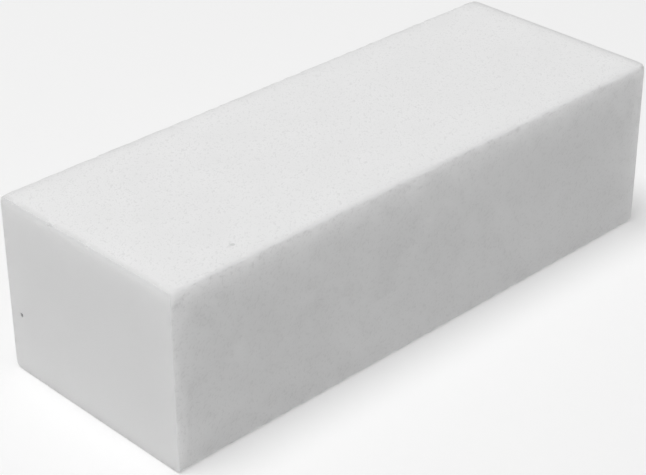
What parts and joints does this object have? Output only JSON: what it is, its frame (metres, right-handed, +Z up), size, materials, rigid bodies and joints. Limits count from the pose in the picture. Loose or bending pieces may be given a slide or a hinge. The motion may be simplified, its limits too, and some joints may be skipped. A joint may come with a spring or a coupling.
{
  "type": "nail buffer block",
  "caption": "Rectangular hand-held buffing block: a soft foam core with fine abrasive grit bonded to its long faces.",
  "frame": {"origin": "middle of the bottom face, which the block rests on", "axes": "+X along the block's length, +Y across its width from the front face to the back face, +Z up through its height"},
  "size_m": [0.095, 0.0356, 0.0277],
  "materials": {
    "foam": "cut closed-cell foam, matt and slightly translucent",
    "bond_resin": "clear flexible resin, satin, soaked into the foam's surface cells",
    "grit": "fine white mineral grit, matt, with a dry anti-clog dusting"
  },
  "bodies": {
    "root": {"foam_core": "foam", "top_bond_resin": "bond_resin", "top_grit_coat": "grit", "bottom_bond_resin": "bond_resin", "bottom_grit_coat": "grit", "front_bond_resin": "bond_resin", "front_grit_coat": "grit", "back_bond_resin": "bond_resin", "back_grit_coat": "grit"}
  },
  "joints": []
}
